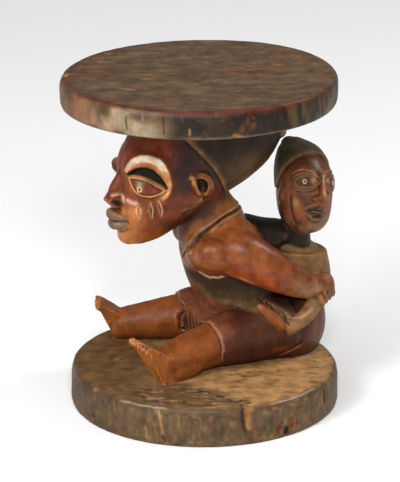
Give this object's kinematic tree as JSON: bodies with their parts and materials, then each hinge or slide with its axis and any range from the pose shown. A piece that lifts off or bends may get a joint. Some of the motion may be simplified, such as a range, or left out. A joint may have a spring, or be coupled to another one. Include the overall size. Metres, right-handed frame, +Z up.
{
  "type": "caryatid stool",
  "caption": "Stool carved from a block of wood: a seated mother with a child on her back stands for the leg, her head and hair holding up a round seat over a round base.",
  "frame": {"origin": "centre of the round base's underside, on the floor", "axes": "+Z up, -Y where the mother faces, +X to her left"},
  "size_m": [0.2986, 0.3109, 0.3726],
  "materials": {
    "carved_wood": "polished by handling, red-brown to dark brown, worn"
  },
  "bodies": {
    "root": {"caryatid_stool": "carved_wood"}
  },
  "joints": []
}
